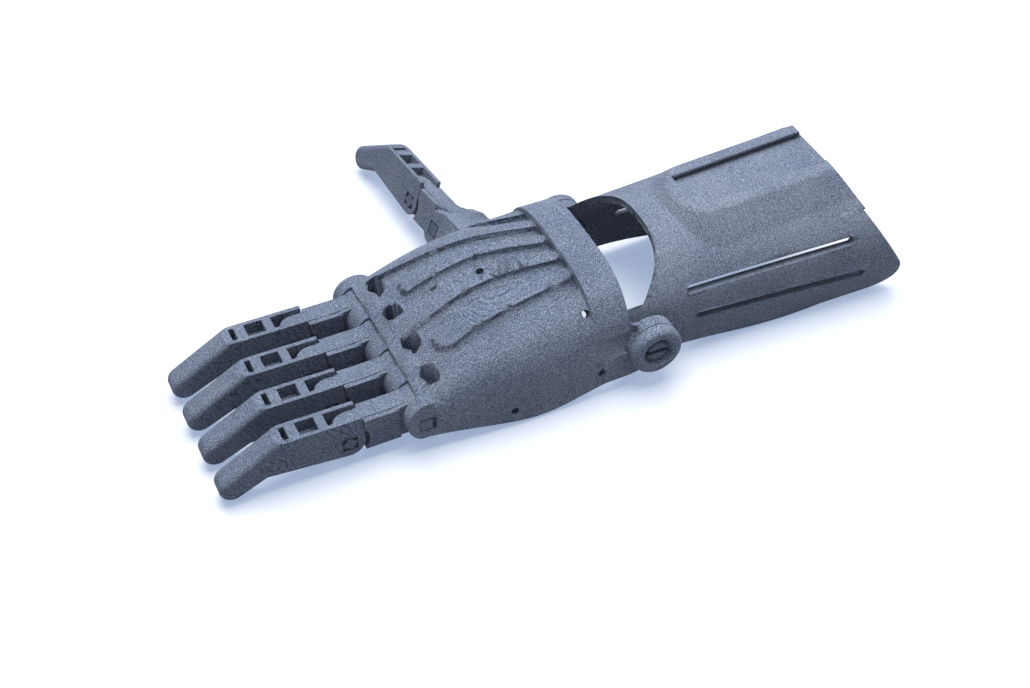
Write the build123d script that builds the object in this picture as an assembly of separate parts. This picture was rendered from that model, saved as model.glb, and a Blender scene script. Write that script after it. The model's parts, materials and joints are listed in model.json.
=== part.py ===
from build123d import *
import copy
import os
from math import acos, atan2, copysign, cos, degrees, hypot, pi, sin

# Wrist-driven prosthetic hand, left, lying palm down.
# Working frame: the wrist axis is the Y axis, fingers point to -X, the thumb is on +Y and the back
# of the hand is up.  At the end everything is moved so that the origin is the middle of the
# bounding box's underside.  Sizes are in millimetres.

# ---- fits -------------------------------------------------------------------------------------
running_gap = 0.08          # radial gap of a pin in a bore that turns on it
seat_gap = 0.05             # radial gap of a pin in a bore that holds it
side_gap = 0.3              # gap between flat faces that turn past each other
tongue_gap = 0.25           # side gap of a finger bone's tongue in the fingertip

# ---- palm shell -------------------------------------------------------------------------------
palm_width = 66.0           # over the knuckle ears
palm_wall = 3.2
palm_base = -9.0            # height where the side walls turn up into the arch
palm_stations = [           # along the shell: x, half width, crown height, squareness of the arch
    (-88.0, 32.2, 2.5, 4.8),
    (-76.0, 33.2, 8.6, 4.5),
    (-66.0, 34.0, 13.4, 4.1),
    (-52.0, 34.9, 18.2, 3.7),
    (-34.0, 35.2, 21.6, 3.3),
    (10.0, 34.7, 20.6, 3.0),
]
palm_rear = -8.0
palm_floor_curve = [(-92, -9.5), (-72, -9.6), (-57, -12.2), (-40, -14.2), (-25, -12.2), (-14, -10.6), (0, -10.4)]
interior_front = -69.0      # front wall of the space for the user's own palm

# ---- knuckles and finger bones ----------------------------------------------------------------
finger_names = ["index", "middle", "ring", "little"]
finger_pitch = 16.1
finger_width = 8.4
knuckle_x = -79.8
knuckle_z = -3.2
knuckle_ear_radius = 7.6
ear_x = knuckle_x + 1.4
ear_z = knuckle_z + 1.3
bar_front = -80.6           # front edge of the crossbar over the finger slots
lug_width = 7.6
lug_radius = 7.6            # top of the bone's dome round the knuckle pin
lug_low_radius = 6.3
shoulder_radius = 7.0       # rear face of the bone's full-width body
bone_reach = 24.0           # knuckle pin to fingertip pin, along the finger
bone_drop = 2.2             # the fingertip pin lies this much lower
bone_top = 5.6
bone_bottom = -6.7
bone_cord_height = 3.3
tongue_width = 4.9
tongue_radius = 4.5
tongue_top = 8.3            # above the fingertip pin

# ---- fingertips -------------------------------------------------------------------------------
ear_radius = 5.0            # rear ears, round their pin
ear_pocket_radius = 6.6
tip_top = 10.0
tip_bend = 23.4             # where the top turns down
tip_reach = 43.0
tip_drop = -8.0
tip_end_radius = 4.4
tip_end_rounding = 2.0
roof_front = 6.2            # the roof starts this far ahead of the pin
square_window = (9.2, 15.4, 5.6)
slot_window = (18.9, 20.7, 5.4)
window_depth = 4.6
cord_bore_radius = 1.0

# ---- finger pins ------------------------------------------------------------------------------
pin_radius = 1.6
tip_pin_head = 3.6
tip_recess = 5.3
tip_recess_depth = 0.9
tip_pin_turn = 38.0         # the square head sits turned in its square recess
knuckle_pin_head = 4.2
knuckle_recess = (5.7, 5.1)
knuckle_recess_depth = 1.4
knuckle_pin_end = 1.2       # distance of the pins' inner ends from the palm's middle

# ---- thumb ------------------------------------------------------------------------------------
thumb_pivot = (-35.9, 46.2, 0.5)
thumb_reach_dir = (-0.089, 0.994, -0.065)
thumb_axis_dir = (0.939, 0.062, -0.340)
thumb_clevis_width = 16.0
thumb_clevis_radius = 6.3
thumb_clevis_length = 15.0

# ---- wrist ------------------------------------------------------------------------------------
wrist_ear_inner = 30.5
wrist_ear_outer = 34.7
wrist_ear_radius = 9.0
wrist_ear_fillet = 4.0
wrist_pin_radius = 3.5
wrist_pin_head_radius = 6.0
wrist_pin_head_thickness = 1.6
wrist_pin_lip = 0.4
wrist_pin_slit = 1.5
wrist_cap_outer = 39.2
wrist_cap_radius = 9.0
wrist_cap_rim = 1.9
wrist_dish_radius = 5.2
wrist_dish_depth = 2.4

# ---- back of the hand -------------------------------------------------------------------------
band_front = -20.0
band_half_width = 31.0
band_crown = 24.7
band_base = -6.0
band_squareness = 2.7
channel_width = 4.6
channel_depth = 1.8
channel_lift = 0.7          # how far a channel rises into the band above it
channel_routes = [          # middle lines in plan, from the band to the crossbar; the last is the thumb's
    [(-6, -18), (-20, -18), (-42, -19.3), (-64, -21.5), (-74, -25)],
    [(-6, -9), (-20, -9), (-43, -5.2), (-61, -5.8), (-73, -8.6)],
    [(-6, 0), (-20, 0), (-43, 7.2), (-59, 8.2), (-73, 8.4)],
    [(-6, 9), (-20, 9), (-43, 17.4), (-62, 21), (-74, 24)],
    [(-6, 18), (-20, 18.5), (-30, 22.5), (-38, 28.5)],
]
apron_front = -75.5         # low ground between the crossbar and the paddles' ends
apron_rear = -64.0
paddle_front = -68.5
paddle_y = 14.0
paddle_radius = 5.0
cord_hole_x = -73.9
cord_hole_size = (4.6, 6.6)
cord_hole_spread = 0.97
lace_hole_radius = 1.35
side_lace_holes = [(-18.3, -5.4), (-49.9, -8.6)]
shoulder_lace_hole = (-21.6, 27.0, 16.0, 45.0)
dorsal_lace_hole = (-45.0, 2.2)

# ---- forearm cuff -----------------------------------------------------------------------------
cuff_wall = 2.7
arm_outer = wrist_ear_inner - side_gap
arm_end_radius = 11.0
cuff_exponent = 2.15
cuff_front = 12.0
cuff_rear = 104.0
cuff_crown_front = 24.9
cuff_crown_rise = 0.046
cuff_half_width_rear = 34.2
cuff_tuck_front = 2.0       # how far the lower edges draw in
cuff_tuck_rear = 5.2
cuff_floor = -14.1
cuff_rear_top = 80.0
cuff_rear_slope = 0.6
cuff_heel_radius = 9.0
cutout_half_width = 27.0
cutout_depth = 11.8
rail_front = 29.0
rail_inner = 8.7
rail_base = 10.1
rail_outer = 13.1
rail_foot = 20.5
rail_height = 3.0
strap_slot_height = 2.5
strap_slots = [(17.6, 11.6, 77.6, 12.2), (20.2, 1.6, 82.0, -1.2)]

thumb_frame = Plane(origin=thumb_pivot, x_dir=thumb_reach_dir, z_dir=thumb_axis_dir).location


# ---- drawing helpers --------------------------------------------------------------------------
def arch_face(x, half_width, crown, base, squareness, bottom=-24.0, count=6):
    """Closed superellipse arch across the hand, with straight sides down to the bottom."""
    points = []
    for i in range(2 * count + 1):
        t = pi * i / (2 * count)
        y = half_width * copysign(abs(cos(t)) ** (2 / squareness), cos(t))
        points.append((x, y, base + (crown - base) * sin(t) ** (2 / squareness)))
    points[0] = (x, half_width, base)
    points[-1] = (x, -half_width, base)
    sides = Polyline(points[-1], (x, -half_width, bottom), (x, half_width, bottom), points[0])
    return make_face(Spline(points) + sides)


def xz_outline(points):
    return Plane.XZ * make_face(Polyline(*points, close=True))


def prism_y(face, y_from, y_to):
    """Extrude a face of the XZ plane from one Y to another."""
    low, high = sorted((y_from, y_to))
    return extrude(Pos(0, low, 0) * face, high - low, dir=(0, 1, 0))


def rod_y(x, z, radius, y_from, y_to):
    return prism_y(Plane.XZ * Pos(x, z) * Circle(radius), y_from, y_to)


def block(x_from, x_to, y_from, y_to, z_from, z_to):
    low = (Align.MIN, Align.MIN, Align.MIN)
    return Pos(x_from, y_from, z_from) * Box(x_to - x_from, y_to - y_from, z_to - z_from, align=low)


def strip(route, width):
    """Plan outline of a curved channel round its middle line."""
    left = Spline([(x, y + width / 2) for x, y in route])
    right = Spline([(x, y - width / 2) for x, y in route])
    return make_face(left + Line(left @ 1, right @ 1) + right + Line(right @ 0, left @ 0))


def tangent_point(point, centre, radius, side):
    """Where a line from the point touches a circle; side picks one of the two."""
    dx, dy = point[0] - centre[0], point[1] - centre[1]
    reach = hypot(dx, dy)
    turn = atan2(dy, dx) + side * acos(radius / reach)
    return centre[0] + radius * cos(turn), centre[1] + radius * sin(turn)


# ---- palm -------------------------------------------------------------------------------------
def palm_loft(inset=0.0):
    faces = [arch_face(x, w - inset, crown - inset, palm_base, n) for x, w, crown, n in palm_stations]
    return loft(faces)


def finger_y(index):
    """Middle of a finger's slot; 0 is the index finger."""
    return finger_pitch * (1.5 - index)


def knuckle_ears():
    """Bar of round-fronted ears, before the finger slots are cut."""
    return rod_y(ear_x, ear_z, knuckle_ear_radius, -palm_width / 2, palm_width / 2)


def finger_slot(y):
    half = lug_width / 2 + side_gap
    reach = lug_radius + side_gap
    slot = rod_y(knuckle_x, knuckle_z, reach, y - half, y + half)
    slot += block(knuckle_x - 20, knuckle_x + reach, y - half, y + half, -30, knuckle_z)
    return slot + block(knuckle_x - 20, bar_front, y - half, y + half, -30, 30)


def wrist_ear(side):
    disc = Circle(wrist_ear_radius)
    outline = disc + Pos(palm_rear - 5, 3) * Rectangle(10, 24)
    notch = [v for v in outline.vertices() if abs(v.X - palm_rear) < 0.1 and 0 < v.Y < 8]
    web = fillet(notch, wrist_ear_fillet)
    toe = make_face(Polyline((-18, -10.6), (-8, -10.4), (0, -wrist_ear_radius), (0, 0), (-18, 0), close=True))
    inner, outer = side * wrist_ear_inner, side * wrist_ear_outer
    return prism_y(Plane.XZ * (disc + toe), inner, outer) + (prism_y(Plane.XZ * web, inner, outer) & palm_loft())


def thumb_clevis():
    """Block with two ears that grows out of the palm's thumb side."""
    top, back = thumb_clevis_radius, -thumb_clevis_length
    flank = make_face(Polyline(
        (0, -top), (back, -top - 2), (back, top + 2.5), (-4, top + 2.2), (2.6, top), (2.6, 0), close=True,
    ))
    return thumb_frame * extrude(flank + Circle(top), thumb_clevis_width / 2, both=True)


def thumb_slot():
    half = lug_width / 2 + side_gap
    reach = lug_radius + side_gap
    below = Pos(20 - reach, -20) * Rectangle(40, 40)
    ahead = Pos(20 + thumb_clevis_radius - 1.5, 0) * Rectangle(40, 60)
    return thumb_frame * extrude(Circle(reach) + below + ahead, half, both=True)


def channel_plan():
    """Plan of the cord channels, with the aprons round the paddles' rounded front ends."""
    plan = strip(channel_routes[0], channel_width)
    for route in channel_routes[1:]:
        plan += strip(route, channel_width)
    length = apron_rear - apron_front
    for side in (-1, 1):
        apron = Pos((apron_front + apron_rear) / 2, side * paddle_y) * Rectangle(length, 4 * paddle_radius)
        plan += apron - Pos(paddle_front + paddle_radius, side * paddle_y) * Circle(paddle_radius)
    return plan


def band():
    """Raised band across the back of the hand, over the cord channels."""
    faces = [arch_face(x, band_half_width, crown, band_base, band_squareness)
             for x, crown in ((band_front, band_crown), (palm_rear, band_crown - 0.3))]
    return loft(faces)


def lace_holes():
    holes = [rod_y(x, z, lace_hole_radius, -45, 45) for x, z in side_lace_holes]
    x, y, z, tilt = shoulder_lace_hole
    for side in (-1, 1):
        holes.append(Pos(x, side * y, z) * Rot(-side * tilt, 0, 0) * Cylinder(lace_hole_radius, 16))
    x, y = dorsal_lace_hole
    holes.append(Pos(x, y, 20) * Cylinder(lace_hole_radius, 16))
    return holes


def knuckle_pin_bore(side):
    head_x, head_z = knuckle_recess
    outer = side * palm_width / 2
    bore = rod_y(knuckle_x, knuckle_z, pin_radius + seat_gap, side * (knuckle_pin_end - side_gap), outer)
    recess = block(knuckle_x - knuckle_pin_head / 2 - 0.15, knuckle_x - knuckle_pin_head / 2 - 0.15 + head_x,
                   -knuckle_recess_depth, knuckle_recess_depth, knuckle_z - head_z / 2, knuckle_z + head_z / 2)
    return bore + Pos(0, outer, 0) * recess


def build_palm():
    solid = palm_loft() & block(-95, palm_rear, -45, 45, -30, 45)
    floor = Spline([(x, 0, z) for x, z in palm_floor_curve])
    walls = Polyline(floor @ 1, (0, 0, 40), (-95, 0, 40), (-95, 0, palm_floor_curve[0][1]), floor @ 0)
    side_view = prism_y(make_face(floor + walls), -60, 60)
    front = block(bar_front, 0, -45, 45, -30, 45)
    solid = (solid & front) + knuckle_ears()
    solid += thumb_clevis()
    inner = palm_loft(palm_wall)
    solid -= inner & block(interior_front, 0, -45, 45, -30, 45)
    solid &= side_view
    solid += band() & block(band_front, palm_rear, -45, 45, 0, 45)
    solid -= inner & block(interior_front, 0, -45, 45, -30, 45)
    channels = extrude(channel_plan(), 60) & palm_loft(-channel_lift)
    solid -= channels - palm_loft(channel_depth)
    for side in (-1, 1):
        solid += wrist_ear(side)
        solid -= rod_y(0, 0, arm_end_radius + side_gap, side * (wrist_ear_inner - 8), side * wrist_ear_inner)
        solid -= rod_y(0, 0, wrist_pin_radius + seat_gap, side * 20, side * 40)
        solid -= knuckle_pin_bore(side)
    for index in range(4):
        y = finger_y(index)
        solid -= finger_slot(y)
        hole = Pos(cord_hole_x, y * cord_hole_spread, 0) * RectangleRounded(*cord_hole_size, 1.5)
        solid -= extrude(hole, 40)
    solid -= thumb_slot()
    solid -= thumb_frame * extrude(Circle(pin_radius + seat_gap), thumb_clevis_width, both=True)
    head = Pos(0, 0, -thumb_clevis_width / 2) * Box(tip_recess, tip_recess, 2 * knuckle_recess_depth)
    solid -= thumb_frame * head
    for hole in lace_holes():
        solid -= hole
    return solid


# ---- fingers, drawn along the finger: x towards the tip, y up, z across -----------------------
def bone_body():
    """Full-width middle of the bone, hollowed at the front for the fingertip's ears."""
    bottom, top = bone_bottom, bone_top
    front = bone_reach - ear_radius - 0.1
    face = make_face(Polyline(
        (shoulder_radius, bottom), (front, bottom), (front, top), (shoulder_radius, top), close=True,
    ))
    face -= Pos(bone_reach, -bone_drop) * Circle(ear_pocket_radius)
    return extrude(face, finger_width / 2, both=True)


def bone_lug():
    rise = lug_radius - lug_low_radius
    neck = make_face(Polyline((0, bone_bottom + 0.6), (9, bone_bottom + 0.6), (9, bone_top), (0, 7), close=True))
    face = Circle(lug_low_radius) + Pos(0, rise) * Circle(lug_low_radius) + neck
    return extrude(face, lug_width / 2, both=True)


def bone_tongue():
    """Narrow crest and tongue that reaches between the fingertip's ears."""
    pin = bone_reach, -bone_drop
    top = tongue_top - bone_drop
    front = bone_reach + tongue_radius
    crest = Spline((2, 7.0), (8, 6.0), (15, top - 0.3), (front - 1.5, top))
    nose = ThreePointArc(crest @ 1, (front - 0.44, top - 0.44), (front, top - 1.5))
    face = make_face(crest + nose + Polyline(nose @ 1, (front, pin[1]), (pin[0], pin[1] - tongue_radius),
                                             (2, bone_bottom + 0.6), crest @ 0))
    face += Pos(*pin) * Circle(tongue_radius)
    face -= Pos(front, pin[1] - tongue_radius) * Rectangle(2 * tongue_radius, 2 * tongue_radius) - (
        Pos(*pin) * Circle(tongue_radius))
    return extrude(face, tongue_width / 2, both=True)


def tongue_trim():
    """Curved cut that rounds the tongue's nose on its far side, in the XZ plane."""
    half = tongue_width / 2
    tip = bone_reach + tongue_radius + 0.2
    curve = ThreePointArc((tip, -half / 2), (tip - 2.4, half * 0.5), (tip - 8.2, half - 0.4))
    face = make_face(curve + Polyline(curve @ 1, (tip - 8.2, half + 1), (tip + 1, half + 1), (tip + 1, -half / 2),
                                      curve @ 0))
    return extrude(Rot(90, 0, 0) * face, -30) & block(0, 60, 2.2, 40, -10, 10)


def build_bone():
    bone = bone_lug() + bone_body() + bone_tongue()
    bone -= tongue_trim()
    bore = Circle(pin_radius + running_gap)
    bone -= extrude(bore, finger_width, both=True)
    bone -= Pos(bone_reach, -bone_drop) * extrude(bore, finger_width, both=True)
    bone -= Pos(bone_reach / 2, bone_cord_height) * Rot(0, 90, 0) * Cylinder(cord_bore_radius, 60)
    return bone


def tip_profile():
    """Side view of the fingertip round its pin."""
    end = tip_reach - tip_end_radius, tip_drop + tip_end_radius
    bend = tip_bend, tip_top + 0.2
    under = tip_bend + 1.8, -2.4
    upper = tangent_point(bend, end, tip_end_radius, -1)
    lower = tangent_point(under, end, tip_end_radius, 1)
    heel = tangent_point(under, (0, 0), ear_radius, -1)
    nose = ThreePointArc(upper, (end[0] + tip_end_radius * cos(-0.2), end[1] + tip_end_radius * sin(-0.2)), lower)
    ear = ThreePointArc(heel, (-ear_radius * cos(0.9), -ear_radius * sin(0.9)), (-ear_radius, 0))
    return make_face(Polyline((-ear_radius, 0), (-ear_radius + 0.6, tip_top - 0.2), bend, upper) + nose
                     + Polyline(lower, under, heel) + ear)


def pocket(window, floor):
    x_from, x_to, width = window
    return block(x_from, x_to, floor, 30, -width / 2, width / 2)


def build_tip():
    tip = extrude(tip_profile(), finger_width / 2, both=True)
    rims = [e for e in tip.edges() if e.center().X > tip_bend + 4 and abs(abs(e.center().Z) - finger_width / 2) < 0.1]
    tip = fillet(rims, tip_end_rounding)
    half = tongue_width / 2 + tongue_gap
    tip -= block(-20, roof_front, -20, 30, -half, half)
    tip -= pocket(square_window, tip_top - window_depth)
    tip -= pocket(slot_window, tip_top - window_depth)
    tunnel = Pos((roof_front + slot_window[1]) / 2, tip_top - window_depth + cord_bore_radius)
    tip -= tunnel * Rot(0, 90, 0) * Cylinder(cord_bore_radius, slot_window[1] - roof_front)
    tip -= extrude(Circle(pin_radius + seat_gap), finger_width, both=True)
    tip -= Pos(0, 0, -finger_width / 2) * Box(tip_recess, tip_recess, 2 * tip_recess_depth)
    return tip


def square_pin(length, head_size, head_depth, turn):
    """Pin with a square head: the head's face at z = 0, the shaft up along +Z."""
    head = extrude(Rot(0, 0, turn) * RectangleRounded(head_size, head_size, 0.35), head_depth)
    return head + extrude(Circle(pin_radius), length)


# ---- wrist ------------------------------------------------------------------------------------
def wrist_pin():
    """Split snap pin on +Y: head inside the cuff, lip behind the cap's dish."""
    r, head = wrist_pin_radius, wrist_pin_head_radius
    y0 = arm_outer - cuff_wall - side_gap
    floor = wrist_cap_outer - wrist_dish_depth
    y1, y2 = floor + 0.3, floor + 1.3
    points = [(0, y0 - wrist_pin_head_thickness), (head - 0.6, y0 - wrist_pin_head_thickness),
              (head, y0 - wrist_pin_head_thickness + 0.6), (head, y0), (r, y0), (r, y1),
              (r + wrist_pin_lip, y1 + 0.2), (r - 0.2, y2), (0, y2)]
    pin = revolve(make_face(Polyline(*points, close=True)), Axis.Y)
    return pin - block(-10, 10, arm_outer, 60, -wrist_pin_slit / 2, wrist_pin_slit / 2)


def wrist_cap():
    """Round cap on +Y with a rolled rim and a dished middle."""
    inner = wrist_ear_outer + side_gap
    outer, r, rim, dish = wrist_cap_outer, wrist_cap_radius, wrist_cap_rim, wrist_dish_radius
    bore = wrist_pin_radius + seat_gap
    floor = outer - wrist_dish_depth
    rolled = ThreePointArc((r, outer - rim), (r - rim * 0.293, outer - rim * 0.293), (r - rim, outer))
    lip = ThreePointArc((r - rim, outer), (dish + 0.5, outer - 0.2), (dish, outer - 0.9))
    outline = Polyline((dish, outer - 0.9), (dish - 0.5, floor), (bore, floor), (bore, inner), (r, inner),
                       (r, outer - rim))
    return revolve(make_face(outline + rolled + lip), Axis.Y)


# ---- forearm cuff -----------------------------------------------------------------------------
def cuff_size(x):
    """Half width, crown height and tuck of the lower edge at a station."""
    share = max(0.0, (x - cuff_front) / (cuff_rear - cuff_front))
    half_width = arm_outer + share * (cuff_half_width_rear - arm_outer)
    crown = cuff_crown_front + cuff_crown_rise * (x - cuff_front)
    return half_width, crown, cuff_tuck_front + share * (cuff_tuck_rear - cuff_tuck_front)


def cuff_face(x, inset):
    half_width, crown, tuck = cuff_size(x)
    points = []
    for i in range(13):
        t = pi * i / 12
        y = (half_width - inset) * copysign(abs(cos(t)) ** (2 / cuff_exponent), cos(t))
        points.append((x, y, (crown - inset) * sin(t) ** (2 / cuff_exponent)))
    foot = half_width - inset - tuck
    left = [(x, half_width - inset - tuck * s * s, cuff_floor * 1.1 * s) for s in (1, 0.66, 0.33)]
    right = [(px, -py, pz) for px, py, pz in reversed(left)]
    curve = Spline(left + [(x, half_width - inset, 0)] + points[1:-1] + [(x, -half_width + inset, 0)] + right)
    return make_face(curve + Line((x, -foot, cuff_floor * 1.1), (x, foot, cuff_floor * 1.1)))


def cuff_loft(inset):
    return loft([cuff_face(x, inset) for x in (-14, cuff_front, 58, cuff_rear + 2)])


def rail_face(side):
    """Undercut rail beside the channel, in a plane across the cuff, measured from the channel's floor."""
    top = rail_height
    slope = Spline((side * rail_outer, top), (side * (rail_outer + 3.5), top * 0.2), (side * rail_foot, -5))
    return make_face(slope + Polyline((side * rail_foot, -5), (side * rail_base, -5), (side * rail_base, 0.4),
                                      (side * rail_inner, top - 0.9), (side * rail_inner, top),
                                      (side * rail_outer, top)))


def channel_frame(x):
    """Plane across the cuff, square to the channel's floor, with Y up."""
    crown = cuff_size(x)[1]
    tilt = (1, 0, cuff_crown_rise)
    return Plane(origin=(x, 0, crown), x_dir=(0, 1, 0), z_dir=tilt)


def cutout_face():
    """Plan of the wrist cut-out between the arms."""
    points = []
    for i in range(15):
        y = cutout_half_width * (i / 7 - 1)
        points.append((cutout_depth * (1 - abs(y / cutout_half_width) ** 3.3), y))
    curve = Spline(points)
    return make_face(curve + Polyline(points[-1], (-40, cutout_half_width), (-40, -cutout_half_width), points[0]))


def side_view_of_cuff():
    """Side outline: round arm ends, long lower edge, slanted rear with a rounded lower corner."""
    r = arm_end_radius
    rear_low = cuff_rear_top + cuff_rear_slope * (28 - cuff_floor)
    lower = Spline((0, 0, -r), (16, 0, -r + 0.6), (42, 0, cuff_floor), (70, 0, cuff_floor), tangents=None)
    heel = Polyline((70, 0, cuff_floor), (rear_low, 0, cuff_floor), (cuff_rear_top - 6, 0, 38), (-5, 0, 38),
                    (-5, 0, 13), (-r * 0.707, 0, r * 0.707))
    nose = ThreePointArc((-r * 0.707, 0, r * 0.707), (-r, 0, 0), (0, 0, -r))
    face = make_face(lower + heel + nose)
    corner = [v for v in face.vertices() if abs(v.X - rear_low) < 0.1]
    return fillet(corner, 9)


def strap_slot(x0, z0, x1, z1):
    centre = Pos((x0 + x1) / 2, (z0 + z1) / 2)
    turn = degrees(atan2(z1 - z0, x1 - x0))
    slot = centre * Rot(0, 0, turn) * SlotCenterToCenter(hypot(x1 - x0, z1 - z0), strap_slot_height)
    return prism_y(Plane.XZ * slot, -60, 60)


def build_gauntlet():
    shell = cuff_loft(0)
    rear = cuff_rear_top + cuff_rear_slope * 30
    rails = loft([channel_frame(rear) * rail_face(1), channel_frame(rail_front) * rail_face(1)])
    rails += loft([channel_frame(rear) * rail_face(-1), channel_frame(rail_front) * rail_face(-1)])
    shell += rails
    shell -= cuff_loft(cuff_wall)
    shell &= prism_y(side_view_of_cuff(), -60, 60)
    shell -= extrude(cutout_face(), 60)
    for slot in strap_slots:
        shell -= strap_slot(*slot)
    for side in (-1, 1):
        shell -= rod_y(0, 0, wrist_pin_radius + running_gap, side * 20, side * 40)
        shell -= rod_y(0, 0, wrist_pin_head_radius + side_gap, side * 20, side * (arm_outer - cuff_wall))
    return shell


# ---- assembly ---------------------------------------------------------------------------------
def finger_frame(index):
    return Plane(origin=(knuckle_x, finger_y(index), knuckle_z), x_dir=(-1, 0, 0), z_dir=(0, 1, 0)).location


def knuckle_pin(side):
    """Pin from the outer ear of one side to the middle of the palm."""
    length = palm_width / 2 - knuckle_pin_end
    pin = square_pin(length, knuckle_pin_head, knuckle_recess_depth - seat_gap, 0)
    seat = Plane(origin=(knuckle_x, side * palm_width / 2, knuckle_z), x_dir=(1, 0, 0), z_dir=(0, -side, 0))
    return seat.location * pin


def build_nodes():
    nodes = {"palm": build_palm(), "gauntlet": build_gauntlet()}
    for name, side in (("thumb_side", 1), ("little_side", -1)):
        flip = (lambda shape: shape) if side > 0 else (lambda shape: mirror(shape, Plane.XZ))
        nodes["wrist_pin_" + name] = flip(wrist_pin())
        nodes["wrist_cap_" + name] = flip(wrist_cap())
        nodes["knuckle_pin_" + name] = knuckle_pin(side)
    bone, tip = build_bone(), build_tip()
    tip_pin = square_pin(finger_width - 0.2, tip_pin_head, tip_recess_depth - seat_gap, tip_pin_turn)
    tip_pin = Pos(0, 0, -finger_width / 2) * tip_pin
    frames = {name: finger_frame(i) for i, name in enumerate(finger_names)}
    frames["thumb"] = thumb_frame
    for name, frame in frames.items():
        nodes[name + "_proximal"] = frame * bone
        nodes[name + "_tip"] = frame * Pos(bone_reach, -bone_drop) * tip
        nodes[name + "_tip_pin"] = frame * Pos(bone_reach, -bone_drop) * tip_pin
    thumb_pin = square_pin(thumb_clevis_width - 0.4, knuckle_pin_head, knuckle_recess_depth - seat_gap, 0)
    nodes["thumb_knuckle_pin"] = thumb_frame * Pos(0, 0, -thumb_clevis_width / 2) * thumb_pin
    return nodes


nodes = build_nodes()
whole = Compound(children=[copy.copy(shape) for shape in nodes.values()]).bounding_box()
origin = Vector((whole.min.X + whole.max.X) / 2, (whole.min.Y + whole.max.Y) / 2, whole.min.Z)
os.makedirs("parts", exist_ok=True)
for name, shape in nodes.items():
    export_step(Pos(-origin) * shape, f"parts/{name}.step")
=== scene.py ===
import bpy
import json
import math
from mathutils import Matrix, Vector


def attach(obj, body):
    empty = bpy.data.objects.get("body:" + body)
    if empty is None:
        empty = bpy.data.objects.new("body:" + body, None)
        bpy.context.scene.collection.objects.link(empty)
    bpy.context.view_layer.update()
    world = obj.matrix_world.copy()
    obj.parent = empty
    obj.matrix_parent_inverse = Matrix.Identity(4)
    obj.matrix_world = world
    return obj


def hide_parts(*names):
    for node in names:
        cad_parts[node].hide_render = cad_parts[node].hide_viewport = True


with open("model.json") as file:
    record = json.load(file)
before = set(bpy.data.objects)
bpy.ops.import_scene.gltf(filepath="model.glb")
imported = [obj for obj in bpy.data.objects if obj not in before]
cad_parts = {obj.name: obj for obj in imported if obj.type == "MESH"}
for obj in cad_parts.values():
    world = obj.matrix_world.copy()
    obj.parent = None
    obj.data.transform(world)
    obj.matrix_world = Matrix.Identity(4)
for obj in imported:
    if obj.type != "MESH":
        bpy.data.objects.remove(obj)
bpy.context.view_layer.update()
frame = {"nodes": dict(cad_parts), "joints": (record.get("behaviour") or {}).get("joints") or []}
print("frame loaded:", len(frame["nodes"]), "nodes")


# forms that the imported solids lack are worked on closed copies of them; their sizes and places are in
# millimetres, and the places are counted from the wrist's axis
wristPlace = Vector(next(joint["pos_m"] for joint in frame["joints"] if joint["name"] == "wrist_flexion"))
mergeDistance = 0.000002    # metres, far under the smallest step of a mesh


def fromWrist(x, y, z):
    return wristPlace + Vector((x, y, z)) / 1000


def selectOnly(piece):
    bpy.ops.object.select_all(action="DESELECT")
    piece.select_set(True)
    bpy.context.view_layer.objects.active = piece


def addShape(name, primitive, **settings):
    # a new primitive, its object at the origin
    bpy.ops.object.select_all(action="DESELECT")
    primitive(**settings)
    piece = bpy.context.object
    piece.name = name
    bpy.ops.object.transform_apply(location=True, rotation=True, scale=True)
    return piece


def editAll(piece, operator, **settings):
    # one edit-mode operator on a whole mesh
    selectOnly(piece)
    bpy.ops.object.mode_set(mode="EDIT")
    bpy.ops.mesh.select_all(action="SELECT")
    operator(**settings)
    bpy.ops.object.mode_set(mode="OBJECT")


def closedCopy(nodeName, name):
    piece = bpy.data.objects.new(name, frame["nodes"][nodeName].data.copy())
    bpy.context.scene.collection.objects.link(piece)
    editAll(piece, bpy.ops.mesh.remove_doubles, threshold=mergeDistance)
    return piece


def reshape(piece, operation, tool):
    selectOnly(piece)
    step = piece.modifiers.new("shape", "BOOLEAN")
    step.operation = operation
    step.solver = "MANIFOLD"
    step.object = tool
    bpy.ops.object.modifier_apply(modifier=step.name)
    bpy.data.objects.remove(tool, do_unlink=True)


def roundEdges(piece, width, angle):
    selectOnly(piece)
    rounding = piece.modifiers.new("rounding", "BEVEL")
    rounding.width = width / 1000
    rounding.segments = 3
    rounding.angle_limit = math.radians(angle)
    bpy.ops.object.modifier_apply(modifier=rounding.name)


def shadeByAngle(piece, angle):
    selectOnly(piece)
    bpy.ops.object.shade_smooth_by_angle(angle=math.radians(angle))


palmForm = {
    "band": {"front": -20.0, "rear": -7.7, "halfWidth": 33.9, "crown": 25.3, "base": -9.0, "rearDrop": 0.3,
             "squareness": 3.2, "thickness": 3.4, "hollowReach": 5.0, "lowestEdge": 7.5, "edgeRounding": 0.5,
             "armRadius": 11.6, "armHalfWidth": 30.5},
    "holes": {"outlines": [[(-76.5, 4.4), (-70.8, 4.6), (-70.8, 9.4), (-74.4, 12.6), (-77.4, 8.6)],
                           [(-77.4, 22.4), (-74.6, 26.4), (-70.9, 25.2), (-71.4, 19.4), (-74.9, 17.4)]],
              "low": 0.0, "high": 40.0, "rounding": 1.1},
    "channels": {"routes": [[(-20.6, -18), (-42, -19.3), (-64, -21.5), (-71, -24)],
                            [(-20.6, -9), (-43, -5.2), (-61, -5.8), (-71, -8.1)],
                            [(-20.6, 0), (-43, 7.2), (-59, 8.2), (-71, 8.4)],
                            [(-20.6, 9), (-43, 17.4), (-62, 21), (-71, 23.2)]],
                 "radius": 2.3, "lift": 1.55, "aboveHand": 60.0},
}


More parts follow.
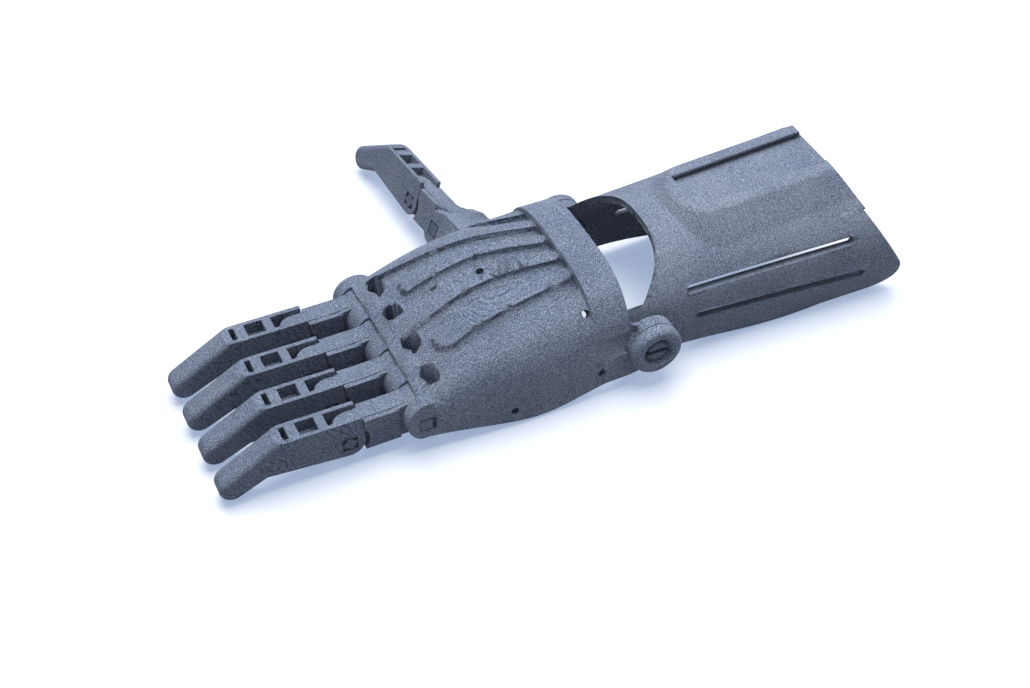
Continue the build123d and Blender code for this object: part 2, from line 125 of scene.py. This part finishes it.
def makeArch(name, form, inset=0.0, reach=0.0):
    # a solid arch across the hand: a round bar squared into a superellipse
    arch = addShape(name, bpy.ops.mesh.primitive_cylinder_add, vertices=160, radius=1.0, depth=1.0,
                    rotation=(0, math.pi / 2, 0))
    power = 2 / form["squareness"]
    for vertex in arch.data.vertices:
        across, up = vertex.co.y, vertex.co.z
        rear = vertex.co.x > 0
        x = form["rear"] + reach if rear else form["front"] - reach
        rise = form["crown"] - form["base"] - inset - (form["rearDrop"] if rear else 0)
        y = math.copysign((form["halfWidth"] - inset) * abs(across) ** power, across)
        z = form["base"] + math.copysign(rise * abs(up) ** power, up)
        vertex.co = fromWrist(x, y, z)
    return arch


def makeBand(form):
    # the raised band across the back of the hand, which the cords run under
    band = makeArch("rearBand", form)
    reshape(band, "DIFFERENCE", makeArch("bandHollow", form, form["thickness"], form["hollowReach"]))
    editAll(band, bpy.ops.mesh.bisect, plane_co=fromWrist(0, 0, form["lowestEdge"]), plane_no=(0, 0, 1),
            clear_inner=True, use_fill=True)
    roundEdges(band, form["edgeRounding"], angle=60)
    armRoom = addShape("armRoom", bpy.ops.mesh.primitive_cylinder_add, vertices=96,
                       radius=form["armRadius"] / 1000, depth=form["armHalfWidth"] / 500,
                       rotation=(math.pi / 2, 0, 0), location=wristPlace)
    reshape(band, "DIFFERENCE", armRoom)    # the cuff's arms turn here
    return band


def makeHole(form, outline):
    # a five-sided opening that a finger's cord leaves the back of the hand by
    hole = addShape("cordHole", bpy.ops.mesh.primitive_cylinder_add, vertices=len(outline), radius=1.0,
                    depth=1.0)
    middleX, middleY = (sum(values) / len(outline) for values in zip(*outline))
    corners = sorted(outline, key=lambda corner: math.atan2(corner[1] - middleY, corner[0] - middleX))
    lowRing = [vertex for vertex in hole.data.vertices if vertex.co.z < 0]
    highRing = [vertex for vertex in hole.data.vertices if vertex.co.z > 0]
    for ring, height in ((lowRing, form["low"]), (highRing, form["high"])):
        ring.sort(key=lambda vertex: math.atan2(vertex.co.y, vertex.co.x))
        for vertex, (x, y) in zip(ring, corners):
            vertex.co = fromWrist(x, y, height)
    roundEdges(hole, form["rounding"], angle=30)
    return hole


def makeChannel(form, route):
    # a rounded hollow along the flat floor of a cord's channel
    data = bpy.data.curves.new("channel", "CURVE")
    data.dimensions = "3D"
    data.bevel_depth = form["radius"] / 1000
    data.bevel_resolution = 6
    data.use_fill_caps = True
    line = data.splines.new("BEZIER")
    line.bezier_points.add(len(route) - 1)
    palmNode = frame["nodes"]["palm"]
    for point, (x, y) in zip(line.bezier_points, route):
        floor = palmNode.ray_cast(fromWrist(x, y, form["aboveHand"]), Vector((0, 0, -1)))[1]
        point.co = floor + Vector((0, 0, form["lift"] / 1000))
        point.handle_left_type = point.handle_right_type = "AUTO"
    channel = bpy.data.objects.new("channel", data)
    bpy.context.scene.collection.objects.link(channel)
    selectOnly(channel)
    bpy.ops.object.convert(target="MESH")
    channel = bpy.context.object
    editAll(channel, bpy.ops.mesh.remove_doubles, threshold=mergeDistance)
    editAll(channel, bpy.ops.mesh.normals_make_consistent, inside=False)
    return channel


def makePalm(form):
    palm = closedCopy("palm", "palmShell")
    for route in form["channels"]["routes"]:
        reshape(palm, "DIFFERENCE", makeChannel(form["channels"], route))
    reshape(palm, "UNION", makeBand(form["band"]))
    for side in (-1, 1):
        for outline in form["holes"]["outlines"]:
            reshape(palm, "DIFFERENCE", makeHole(form["holes"], [(x, side * y) for x, y in outline]))
    shadeByAngle(palm, angle=25)
    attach(palm, "palm")
    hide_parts("palm")
    return palm


# the vault is the cuff's own arched back, which the pad and the channel between its rails follow; a slot's
# start and end are x and z
cuffForm = {
    "vault": {"front": 12.0, "rear": 104.0, "crown": 24.9, "crownRise": 0.046, "halfWidth": 30.2,
              "rearHalfWidth": 34.2, "squareness": 2.15},
    "clearing": {"xRange": (26, 106), "halfWidth": 24.5, "top": 45, "gap": 0.03, "counts": (60, 60)},
    "pad": {"front": 20.0, "noseLength": 14.0, "height": 3.0, "plateau": 13.1, "foot": 23.4, "footSink": 0.7,
            "flankRise": 5.4, "flankPower": 1.25, "fade": 0.8, "bed": 1.6, "leastDepth": 0.2, "margin": 1.0,
            "rearTop": 80.0, "overhang": 1.0, "rearSlope": 0.6, "rearHeight": 28, "spareLength": 10,
            "counts": (110, 90)},
    "railChannel": {"front": 29.0, "length": 90.0, "floor": 0.35, "depth": 8.0, "lipHalfWidth": 8.7,
                    "floorHalfWidth": 10.1, "undercutHeight": 0.75, "lipHeight": 2.1},
    "slots": [{"start": (17.6, 11.6), "end": (77.6, 12.2), "height": 2.8, "reach": 120},
              {"start": (20.2, 1.4), "end": (82.0, -1.4), "height": 2.9, "reach": 120}],
}


def vaultHeight(x, y):
    form = cuffForm["vault"]
    share = max(0.0, (x - form["front"]) / (form["rear"] - form["front"]))
    halfWidth = form["halfWidth"] + share * (form["rearHalfWidth"] - form["halfWidth"])
    crown = form["crown"] + form["crownRise"] * (x - form["front"])
    power = form["squareness"]
    return crown * (1 - min(1.0, abs(y) / halfWidth) ** power) ** (1 / power)


def padHeight(x, y):
    # flat along the rails' tops, with flanks and a nose that run out on the vault
    form = cuffForm["pad"]
    noseStart = form["front"] + form["noseLength"]
    ahead = max(0.0, noseStart - x) / form["noseLength"]
    reach = math.hypot(ahead, abs(y) / form["foot"])
    share = max(0.0, min(1.0, (1.0 - reach) / (1.0 - form["plateau"] / form["foot"])))
    flank = vaultHeight(x, y) - form["footSink"] + form["flankRise"] * (share ** form["flankPower"])
    top = vaultHeight(x, 0) + form["height"]
    fade = form["fade"]
    overlap = max(0.0, fade - abs(flank - top)) / fade
    return min(flank, top) - overlap * overlap * fade / 4


def padBottom(x, y):
    form = cuffForm["pad"]
    return min(vaultHeight(x, y) - form["bed"], padHeight(x, y) - form["leastDepth"])


def makeSlab(name, xRange, halfWidth, counts, upper, lower):
    # a plate whose two faces follow the functions upper and lower
    slab = addShape(name, bpy.ops.mesh.primitive_grid_add, x_subdivisions=counts[0], y_subdivisions=counts[1],
                    size=1.0)
    editAll(slab, bpy.ops.mesh.extrude_region_move, TRANSFORM_OT_translate={"value": (0, 0, 1)})
    editAll(slab, bpy.ops.mesh.normals_make_consistent, inside=False)
    for vertex in slab.data.vertices:
        x = xRange[0] + (vertex.co.x + 0.5) * (xRange[1] - xRange[0])
        y = 2 * halfWidth * vertex.co.y
        z = upper(x, y) if vertex.co.z > 0.5 else lower(x, y)
        vertex.co = fromWrist(x, y, z)
    return slab


def makeClearing(form):
    # takes the plain rails off the vault, so that the pad can carry its own
    return makeSlab("railClearing", form["xRange"], form["halfWidth"], form["counts"],
                    lambda x, y: form["top"], lambda x, y: vaultHeight(x, y) + form["gap"])


def makeRailChannel(form):
    # undercut channel between the rails, open to the rear
    channel = addShape("railChannel", bpy.ops.mesh.primitive_cube_add, size=1.0)
    for vertex in channel.data.vertices:
        x = form["front"] + (vertex.co.x + 0.5) * form["length"]
        y = vertex.co.y * 2 * form["lipHalfWidth"]
        z = form["floor"] + (vertex.co.z + 0.5) * form["depth"]
        vertex.co = Vector((x, y, z))
    for height in (form["undercutHeight"], form["lipHeight"]):
        editAll(channel, bpy.ops.mesh.bisect, plane_co=(0, 0, height), plane_no=(0, 0, 1))
    widen = form["floorHalfWidth"] / form["lipHalfWidth"]
    widestUpTo = (form["undercutHeight"] + form["lipHeight"]) / 2
    for vertex in channel.data.vertices:
        x, y, z = vertex.co
        if z < widestUpTo:
            y *= widen
        vertex.co = fromWrist(x, y, z + vaultHeight(x, 0))
    return channel


def makePad(form):
    # the faired pad that carries the rails, cut off at a slant behind
    rear = form["rearTop"] + form["overhang"]
    pad = makeSlab("railPad", (form["front"] - form["margin"], rear + form["spareLength"]),
                   form["foot"] + form["margin"], form["counts"], padHeight, padBottom)
    editAll(pad, bpy.ops.mesh.bisect, plane_co=fromWrist(rear, 0, form["rearHeight"]),
            plane_no=(1, 0, form["rearSlope"]), clear_outer=True, use_fill=True)
    return pad


def makeSlot(start, end, height, reach):
    # one pass through both sides of the cuff: a round bar drawn out along the cuff
    middle = fromWrist(start[0], 0, start[1])
    slot = addShape("strapSlot", bpy.ops.mesh.primitive_cylinder_add, vertices=32, radius=height / 2000,
                    depth=reach / 1000, rotation=(math.pi / 2, 0, 0), location=middle)
    for vertex in slot.data.vertices:
        if vertex.co.x > middle.x + mergeDistance:
            vertex.co += Vector((end[0] - start[0], 0, end[1] - start[1])) / 1000
    return slot


def makeCuff(form):
    cuff = closedCopy("gauntlet", "cuffShell")
    reshape(cuff, "DIFFERENCE", makeClearing(form["clearing"]))
    pad = makePad(form["pad"])
    reshape(pad, "DIFFERENCE", makeRailChannel(form["railChannel"]))
    reshape(cuff, "UNION", pad)
    for slot in form["slots"]:
        reshape(cuff, "DIFFERENCE", makeSlot(**slot))
    shadeByAngle(cuff, angle=25)
    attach(cuff, "gauntlet")
    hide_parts("gauntlet")
    return cuff


palmShell = makePalm(palmForm)
print("palm reshaped:", len(palmShell.data.polygons), "faces")
cuffShell = makeCuff(cuffForm)
print("cuff reshaped:", len(cuffShell.data.polygons), "faces")


# helpers for node trees
def newGroup(name, inputs, outputs):
    group = bpy.data.node_groups.new(name, "ShaderNodeTree")
    for side, sockets in (("INPUT", inputs), ("OUTPUT", outputs)):
        for label, kind in sockets:
            group.interface.new_socket(label, in_out=side, socket_type=kind)
    return group, group.nodes.new("NodeGroupInput"), group.nodes.new("NodeGroupOutput")


def addMath(tree, operation, first, second=0.0):
    node = tree.nodes.new("ShaderNodeMath")
    node.operation = operation
    for socket, value in zip(node.inputs, (first, second)):
        if isinstance(value, (int, float)):
            socket.default_value = value
        else:
            tree.links.new(value, socket)
    return node.outputs[0]


def addDot(tree, first, second):
    node = tree.nodes.new("ShaderNodeVectorMath")
    node.operation = "DOT_PRODUCT"
    tree.links.new(first, node.inputs[0])
    tree.links.new(second, node.inputs[1])
    return node.outputs["Value"]


def addShares(tree, first, firstShare, second, secondShare):
    return addMath(tree, "ADD", addMath(tree, "MULTIPLY", first, firstShare),
                   addMath(tree, "MULTIPLY", second, secondShare))


def addNoise(tree, vector, scale, detail, roughness=0.5):
    node = tree.nodes.new("ShaderNodeTexNoise")
    tree.links.new(vector, node.inputs["Vector"])
    if isinstance(scale, (int, float)):
        node.inputs["Scale"].default_value = scale
    else:
        tree.links.new(scale, node.inputs["Scale"])
    node.inputs["Detail"].default_value = detail
    node.inputs["Roughness"].default_value = roughness
    return node.outputs["Fac"]


def addRange(tree, value, fromLow, fromHigh, toLow=0.0, toHigh=1.0):
    node = tree.nodes.new("ShaderNodeMapRange")
    tree.links.new(value, node.inputs["Value"])
    limits = {"From Min": fromLow, "From Max": fromHigh, "To Min": toLow, "To Max": toHigh}
    for label, number in limits.items():
        node.inputs[label].default_value = number
    return node.outputs["Result"]


def addMix(tree, factor, first, second):
    node = tree.nodes.new("ShaderNodeMix")
    node.data_type = "RGBA"    # its colours are inputs 6 and 7 and output 2
    for socket, value in ((node.inputs[0], factor), (node.inputs[6], first), (node.inputs[7], second)):
        if isinstance(value, (int, float, tuple)):
            socket.default_value = value
        else:
            tree.links.new(value, socket)
    return node.outputs[2]


# scales count per metre, and coarseScale is a share of the grain's own
noiseRange = (0.3, 0.7)    # where most of a noise texture's values lie
powderPattern = {"coarseScale": 0.62, "fineShare": 0.65, "coarseShare": 0.35, "grainStart": 0.46,
                 "grainFull": 0.62, "cloudScale": 55.0, "cloudTint": 0.1, "smoothest": 0.68, "roughest": 0.9,
                 "fineHeight": 0.6, "coarseHeight": 0.8}
layerPattern = {"rippleScale": 150.0, "grooveWidth": 0.2, "patchScale": 60.0, "patchStart": 0.35,
                "patchFull": 0.6, "patchLeast": 0.3}


def buildPowderGroup(pattern):
    # fused powder: dark body, pale grains that didn't melt in, cloudy patches
    tree, entry, outlet = newGroup("sinteredPowder", [
        ("Vector", "NodeSocketVector"),
        ("Body Color", "NodeSocketColor"),
        ("Grain Color", "NodeSocketColor"),
        ("Grain Scale", "NodeSocketFloat"),
        ("Grain Amount", "NodeSocketFloat"),
        ("Cloud Amount", "NodeSocketFloat"),
    ], [("Color", "NodeSocketColor"), ("Roughness", "NodeSocketFloat"), ("Height", "NodeSocketFloat")])
    vector, grainScale = entry.outputs["Vector"], entry.outputs["Grain Scale"]
    fine = addNoise(tree, vector, grainScale, detail=2, roughness=0.6)
    coarse = addNoise(tree, vector, addMath(tree, "MULTIPLY", grainScale, pattern["coarseScale"]), detail=1)
    clouds = addNoise(tree, vector, pattern["cloudScale"], detail=3)
    mixed = addShares(tree, fine, pattern["fineShare"], coarse, pattern["coarseShare"])
    grains = addRange(tree, mixed, pattern["grainStart"], pattern["grainFull"])
    mask = addMath(tree, "MULTIPLY", grains, entry.outputs["Grain Amount"])
    grainy = addMix(tree, mask, entry.outputs["Body Color"], entry.outputs["Grain Color"])
    cloudy = addRange(tree, clouds, *noiseRange, -1.0, 1.0)
    shade = addMath(tree, "MULTIPLY", cloudy, entry.outputs["Cloud Amount"])
    bright = tree.nodes.new("ShaderNodeBrightContrast")
    tree.links.new(grainy, bright.inputs["Color"])
    tree.links.new(addMath(tree, "MULTIPLY", shade, pattern["cloudTint"]), bright.inputs["Bright"])
    tree.links.new(bright.outputs["Color"], outlet.inputs["Color"])
    roughness = addRange(tree, fine, *noiseRange, pattern["smoothest"], pattern["roughest"])
    tree.links.new(roughness, outlet.inputs["Roughness"])
    height = addShares(tree, fine, pattern["fineHeight"], coarse, pattern["coarseHeight"])
    tree.links.new(height, outlet.inputs["Height"])
    return tree


def buildLayerGroup(pattern):
    # contour grooves where a face lies almost flat in its build layer, and streaks across the layers
    tree, entry, outlet = newGroup("buildLayers", [
        ("Vector", "NodeSocketVector"),
        ("Normal", "NodeSocketVector"),
        ("Direction", "NodeSocketVector"),
        ("Layer Scale", "NodeSocketFloat"),
        ("Waviness", "NodeSocketFloat"),
        ("Flatness", "NodeSocketFloat"),
        ("Streak Direction", "NodeSocketVector"),
        ("Streak Scale", "NodeSocketFloat"),
        ("Streak Amount", "NodeSocketFloat"),
    ], [("Height", "NodeSocketFloat"), ("Groove", "NodeSocketFloat"), ("Streak", "NodeSocketFloat")])
    vector, direction = entry.outputs["Vector"], entry.outputs["Direction"]
    level = addMath(tree, "MULTIPLY", addDot(tree, vector, direction), entry.outputs["Layer Scale"])
    ripple = addRange(tree, addNoise(tree, vector, pattern["rippleScale"], detail=2), *noiseRange, -1.0, 1.0)
    level = addMath(tree, "ADD", level, addMath(tree, "MULTIPLY", ripple, entry.outputs["Waviness"]))
    toGroove = addMath(tree, "PINGPONG", level, 0.5)    # 0 in each layer's groove, 0.5 half way to the next
    groove = addRange(tree, toGroove, 0.0, pattern["grooveWidth"], 1.0, 0.0)
    facing = addMath(tree, "ABSOLUTE", addDot(tree, entry.outputs["Normal"], direction))
    fade = tree.nodes.new("ShaderNodeMapRange")
    fade.interpolation_type = "SMOOTHSTEP"
    tree.links.new(facing, fade.inputs["Value"])
    tree.links.new(entry.outputs["Flatness"], fade.inputs["From Min"])
    fade.inputs["From Max"].default_value = 1.0
    patches = addRange(tree, addNoise(tree, vector, pattern["patchScale"], detail=2), pattern["patchStart"],
                       pattern["patchFull"], pattern["patchLeast"], 1.0)
    line = addMath(tree, "MULTIPLY", groove, addMath(tree, "MULTIPLY", patches, fade.outputs["Result"]))
    tree.links.new(line, outlet.inputs["Groove"])
    along = addDot(tree, vector, entry.outputs["Streak Direction"])
    across = tree.nodes.new("ShaderNodeCombineXYZ")
    tree.links.new(addMath(tree, "MULTIPLY", along, entry.outputs["Streak Scale"]), across.inputs["Z"])
    streakNoise = addNoise(tree, across.outputs[0], scale=1.0, detail=2, roughness=0.6)
    streaks = addRange(tree, streakNoise, *noiseRange)
    amount = addMath(tree, "MULTIPLY", patches, entry.outputs["Streak Amount"])
    streak = addMath(tree, "MULTIPLY", streaks, amount)
    tree.links.new(streak, outlet.inputs["Streak"])
    tree.links.new(addMath(tree, "SUBTRACT", streak, line), outlet.inputs["Height"])
    return tree


powderGroup = buildPowderGroup(powderPattern)
layerGroup = buildLayerGroup(layerPattern)
print("node groups built")


# materials
def placeGroup(tree, group, values):
    node = tree.nodes.new("ShaderNodeGroup")
    node.node_tree = group
    for label, value in values.items():
        node.inputs[label].default_value = value
    return node


def addBump(tree, height, normal, strength, distance):
    node = tree.nodes.new("ShaderNodeBump")
    node.inputs["Strength"].default_value = strength
    node.inputs["Distance"].default_value = distance
    tree.links.new(height, node.inputs["Height"])
    tree.links.new(normal, node.inputs["Normal"])
    return node.outputs["Normal"]


def makeNylon(name, look):
    material = bpy.data.materials.new(name)
    material.use_nodes = True
    material.diffuse_color = look["bodyColor"]
    tree = material.node_tree
    shader = tree.nodes["Principled BSDF"]
    shader.inputs["Specular IOR Level"].default_value = look["specular"]
    coordinates = tree.nodes.new("ShaderNodeTexCoord")
    powder = placeGroup(tree, powderGroup, {
        "Body Color": look["bodyColor"], "Grain Color": look["grainColor"], "Grain Scale": look["grainScale"],
        "Grain Amount": look["grainAmount"], "Cloud Amount": look["cloudAmount"]})
    layers = placeGroup(tree, layerGroup, {
        "Direction": Vector(look["layerDirection"]).normalized(), "Layer Scale": look["layerScale"],
        "Waviness": look["layerWaviness"], "Flatness": look["layerFlatness"],
        "Streak Direction": look["streakDirection"], "Streak Scale": look["streakScale"],
        "Streak Amount": look["streakAmount"]})
    for group in (powder, layers):
        tree.links.new(coordinates.outputs["Object"], group.inputs["Vector"])
    tree.links.new(coordinates.outputs["Normal"], layers.inputs["Normal"])
    # the layer-step grooves are darkened in the base colour as painted shade in the grooves, on top of their
    # bump; the streaks are random tone
    streakShade = addMath(tree, "MULTIPLY", layers.outputs["Streak"], look["streakTint"])
    paintedShadeInGrooves = addMath(tree, "MULTIPLY", layers.outputs["Groove"], look["paintedGrooveDarkness"])
    tint = tree.nodes.new("ShaderNodeBrightContrast")
    tree.links.new(powder.outputs["Color"], tint.inputs["Color"])
    tree.links.new(addMath(tree, "SUBTRACT", streakShade, paintedShadeInGrooves), tint.inputs["Bright"])
    tree.links.new(tint.outputs["Color"], shader.inputs["Base Color"])
    tree.links.new(powder.outputs["Roughness"], shader.inputs["Roughness"])
    soften = tree.nodes.new("ShaderNodeBevel")
    soften.samples = 4
    soften.inputs["Radius"].default_value = look["edgeRadius"]
    steps = addBump(tree, layers.outputs["Height"], soften.outputs["Normal"],
                    look["layerDepth"], look["layerStep"])
    sand = addBump(tree, powder.outputs["Height"], steps, look["grainDepth"], look["grainStep"])
    tree.links.new(sand, shader.inputs["Normal"])
    return material


def coat(piece, material):
    piece.data.materials.clear()
    piece.data.materials.append(material)


def dress(material, *nodeNames):
    for nodeName in nodeNames:
        coat(frame["nodes"][nodeName], material)


palmLook = {
    "bodyColor": (0.068, 0.083, 0.124, 1),
    "grainColor": (0.50, 0.56, 0.71, 1),
    "grainScale": 4200.0,
    "grainAmount": 0.66,
    "cloudAmount": 0.2,
    "grainDepth": 0.6,
    "grainStep": 0.0003,
    "layerDirection": (-0.18, -0.02, 1.0),
    "layerScale": 6500.0,
    "layerWaviness": 0.5,
    "layerFlatness": 0.86,
    "layerDepth": 0.9,
    "layerStep": 0.0002,
    # painted shade: how far the layer-step grooves darken the base colour
    "paintedGrooveDarkness": 0.09,
    "streakDirection": (0.06, 0.0, 1.0),
    "streakScale": 1200.0,
    "streakAmount": 0.3,
    "streakTint": 0.01,
    "specular": 0.3,
    "edgeRadius": 0.0005,
}
cuffLook = dict(palmLook, layerDirection=(0.05, 1.0, 0.0), layerScale=9000.0, grainAmount=0.58,
                streakDirection=(1.0, 0.03, 0.08), streakScale=1100.0, streakAmount=1.3, streakTint=0.045)
fingerLook = dict(palmLook, layerDirection=(0.05, 1.0, 0.03), layerScale=9000.0, layerWaviness=1.2,
                  streakDirection=(1.0, 0.1, 0.1), streakAmount=0.4, grainAmount=0.55, edgeRadius=0.0004)
pinLook = dict(palmLook, grainAmount=0.35, edgeRadius=0.0002)
capLook = dict(palmLook, layerDirection=(0.0, 1.0, 0.1), edgeRadius=0.0004)

sides = ("thumb_side", "little_side")
fingers = ("index", "middle", "ring", "little", "thumb")
coat(palmShell, makeNylon("palmNylon", palmLook))
coat(cuffShell, makeNylon("cuffNylon", cuffLook))
dress(makeNylon("fingerNylon", fingerLook),
      *[finger + bone for bone in ("_proximal", "_tip") for finger in fingers])
dress(makeNylon("pinNylon", pinLook), "thumb_knuckle_pin", *[finger + "_tip_pin" for finger in fingers],
      *[pin + side for pin in ("knuckle_pin_", "wrist_pin_") for side in sides])
dress(makeNylon("capNylon", capLook), *["wrist_cap_" + side for side in sides])
print("materials assigned")


# floor, world, lamps and camera
floorLook = {"size": 6.0, "seenColor": (0.60, 0.54, 0.47, 1), "bounceColor": (0.30, 0.32, 0.36, 1),
             "glowColor": (0.52, 0.68, 1.0, 1), "glow": 0.54, "roughness": 0.3}


def makeFloor(look):
    bpy.ops.object.select_all(action="DESELECT")
    bpy.ops.mesh.primitive_plane_add(size=look["size"], location=(0, 0, 0))
    floor = bpy.context.object
    floor.name = "floor"
    material = bpy.data.materials.new("floorWhite")
    material.use_nodes = True
    tree = material.node_tree
    shader = tree.nodes["Principled BSDF"]
    shader.inputs["Roughness"].default_value = look["roughness"]
    path = tree.nodes.new("ShaderNodeLightPath")
    shown = addMath(tree, "MAXIMUM", path.outputs["Is Camera Ray"], path.outputs["Is Glossy Ray"])
    tree.links.new(addMix(tree, shown, look["bounceColor"], look["seenColor"]), shader.inputs["Base Color"])
    glow = tree.nodes.new("ShaderNodeEmission")
    tree.links.new(addMath(tree, "MULTIPLY", shown, look["glow"]), glow.inputs["Strength"])
    glow.inputs["Color"].default_value = look["glowColor"]
    both = tree.nodes.new("ShaderNodeAddShader")
    tree.links.new(shader.outputs[0], both.inputs[0])
    tree.links.new(glow.outputs[0], both.inputs[1])
    tree.links.new(both.outputs[0], tree.nodes["Material Output"].inputs["Surface"])
    floor.data.materials.append(material)


worldLook = {"light": (0.86, 0.92, 1.0, 1), "strength": 0.17}


def makeWorld(look):
    world = bpy.data.worlds.new("paleRoom")
    bpy.context.scene.world = world
    world.use_nodes = True
    tree = world.node_tree
    tree.nodes.clear()
    light = tree.nodes.new("ShaderNodeBackground")
    light.inputs["Color"].default_value = look["light"]
    light.inputs["Strength"].default_value = look["strength"]
    plain = tree.nodes.new("ShaderNodeBackground")
    plain.inputs["Color"].default_value = (1, 1, 1, 1)
    path = tree.nodes.new("ShaderNodeLightPath")
    shown = addMath(tree, "MAXIMUM", path.outputs["Is Camera Ray"], path.outputs["Is Glossy Ray"])
    mix = tree.nodes.new("ShaderNodeMixShader")
    tree.links.new(shown, mix.inputs[0])
    tree.links.new(light.outputs[0], mix.inputs[1])
    tree.links.new(plain.outputs[0], mix.inputs[2])
    out = tree.nodes.new("ShaderNodeOutputWorld")
    tree.links.new(mix.outputs[0], out.inputs["Surface"])


lampLooks = [
    {"name": "topSoftbox", "place": (0.05, 0.16, 1.0), "aim": (0.0, 0.0, 0.0), "size": 0.9, "power": 18.0,
     "color": (0.90, 0.95, 1.0)},
    {"name": "sideSoftbox", "place": (0.95, -0.25, 0.6), "aim": (0.0, 0.0, 0.0), "size": 0.7, "power": 2.5,
     "color": (0.95, 0.97, 1.0)},
    {"name": "frontFill", "place": (-0.7, -0.7, 0.5), "aim": (0.0, 0.0, 0.0), "size": 0.8, "power": 0.8,
     "color": (0.95, 0.97, 1.0)},
]


def makeLamp(look):
    data = bpy.data.lights.new(look["name"], "AREA")
    data.size = look["size"]
    data.energy = look["power"]
    data.color = look["color"]
    lamp = bpy.data.objects.new(look["name"], data)
    bpy.context.scene.collection.objects.link(lamp)
    lamp.location = look["place"]
    direction = Vector(look["aim"]) - lamp.location
    lamp.rotation_euler = direction.to_track_quat("-Z", "Y").to_euler()


cameraLook = {"place": (-0.18403, -0.40819, 0.40263), "turn": (45.502, 0.178, -25.36), "lens": 58.998}


def makeCamera(look):
    data = bpy.data.cameras.new("camera")
    data.lens = look["lens"]
    data.sensor_width = 36
    data.clip_start = 0.01
    data.clip_end = 20
    camera = bpy.data.objects.new("camera", data)
    bpy.context.scene.collection.objects.link(camera)
    camera.location = look["place"]
    camera.rotation_euler = [math.radians(angle) for angle in look["turn"]]
    bpy.context.scene.camera = camera


makeFloor(floorLook)
makeWorld(worldLook)
for lampLook in lampLooks:
    makeLamp(lampLook)
makeCamera(cameraLook)
bpy.context.scene.view_settings.view_transform = "Standard"
print("stage, lamps and camera ready")
